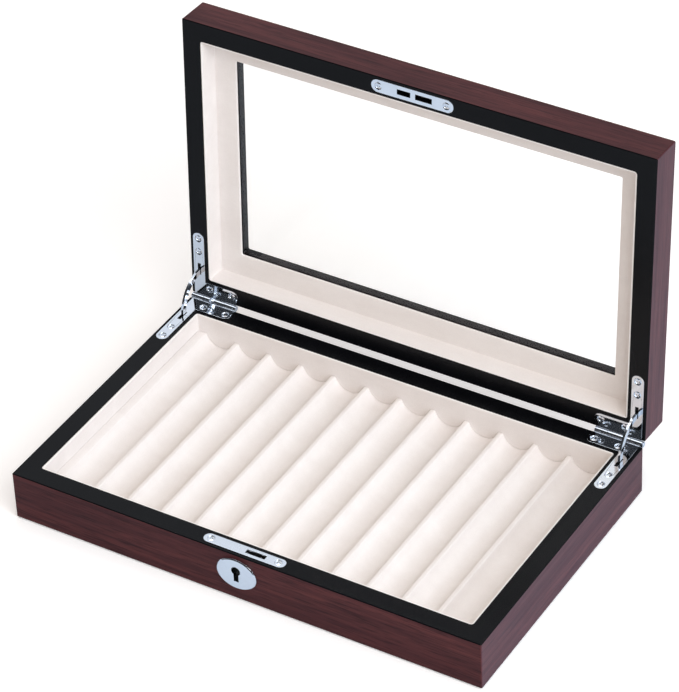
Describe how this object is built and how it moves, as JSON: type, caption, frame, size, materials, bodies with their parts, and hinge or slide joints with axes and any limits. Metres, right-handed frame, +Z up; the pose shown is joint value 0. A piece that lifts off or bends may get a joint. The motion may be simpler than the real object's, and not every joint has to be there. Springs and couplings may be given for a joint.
{
  "type": "pen collector chest",
  "caption": "Shallow veneered wooden case with a hinged glass-topped lid, side stays, a front key lock and a suede-covered grooved tray for laying pens side by side.",
  "frame": {"origin": "middle of the case's underside, on the face of the felt that it rests on", "axes": "+X to the right along the case's length, +Y from the lock side to the hinge side, +Z up"},
  "size_m": [0.335, 0.2477, 0.2459],
  "materials": {
    "veneered_wood": "satin veneer, black-lacquered rims",
    "floor_board": "bare fibreboard",
    "felt": "black felt",
    "ivory_suede": "short-napped ivory suede cloth",
    "clear_glass": "polished float glass",
    "polished_chrome": "mirror polished",
    "lock_steel": "plain rolled steel"
  },
  "bodies": {
    "base": {"base_front_rail": "veneered_wood", "base_rear_rail": "veneered_wood", "base_left_rail": "veneered_wood", "base_right_rail": "veneered_wood", "base_floor_panel": "floor_board", "underside_felt": "felt", "base_lining": "ivory_suede", "pen_tray": "ivory_suede", "tray_ridge_01": "ivory_suede", "tray_ridge_02": "ivory_suede", "tray_ridge_03": "ivory_suede", "tray_ridge_04": "ivory_suede", "tray_ridge_05": "ivory_suede", "tray_ridge_06": "ivory_suede", "tray_ridge_07": "ivory_suede", "tray_ridge_08": "ivory_suede", "tray_ridge_09": "ivory_suede", "tray_ridge_10": "ivory_suede", "tray_ridge_11": "ivory_suede", "tray_ridge_12": "ivory_suede", "tray_ridge_13": "ivory_suede", "lock_plate": "polished_chrome", "lock_plate_screws": "polished_chrome", "lock_case": "lock_steel", "lock_back_plate": "lock_steel", "lock_pin": "lock_steel", "lock_spring": "lock_steel", "escutcheon": "polished_chrome", "base_leaf_screws": "polished_chrome", "base_hinge_leaf_left": "polished_chrome", "base_hinge_leaf_right": "polished_chrome", "hinge_pin_left": "polished_chrome", "hinge_pin_right": "polished_chrome"},
    "lid": {"lid_front_rail": "veneered_wood", "lid_rear_rail": "veneered_wood", "lid_left_rail": "veneered_wood", "lid_right_rail": "veneered_wood", "lid_top_panel": "veneered_wood", "window_glass": "clear_glass", "window_retainer": "ivory_suede", "lid_lining": "ivory_suede", "strike_plate": "polished_chrome", "strike_plate_screws": "polished_chrome", "lid_leaf_screws": "polished_chrome", "lid_hinge_leaf_left": "polished_chrome", "lid_hinge_leaf_right": "polished_chrome"},
    "bolt": {"hook_bolt": "lock_steel"},
    "stay_left": {"stay_left": "polished_chrome", "stay_pins_left": "polished_chrome"},
    "stay_right": {"stay_right": "polished_chrome", "stay_pins_right": "polished_chrome"}
  },
  "joints": [
    {"name": "lid_hinge", "type": "hinge", "parent": "base", "child": "lid", "pos_m": [0, 0.1061, 0.0361], "axis": [1, 0, 0], "range_deg": [0, 93]},
    {"name": "stay_left_swing", "type": "hinge", "parent": "base", "child": "stay_left", "pos_m": [-0.161, 0.1061, 0.0361], "axis": [1, 0, 0], "range_deg": [0, 46.5]},
    {"name": "stay_right_swing", "type": "hinge", "parent": "base", "child": "stay_right", "pos_m": [0.161, 0.1061, 0.0361], "axis": [1, 0, 0], "range_deg": [0, 46.5]},
    {"name": "bolt_turn", "type": "hinge", "parent": "base", "child": "bolt", "pos_m": [-0.002, -0.0975, 0.0246], "axis": [0, -1, 0], "range_deg": [0, 82]}
  ],
  "couplings": [
    {"joint": "stay_left_swing", "follows": "lid_hinge", "ratio": 0.5},
    {"joint": "stay_right_swing", "follows": "lid_hinge", "ratio": 0.5}
  ]
}
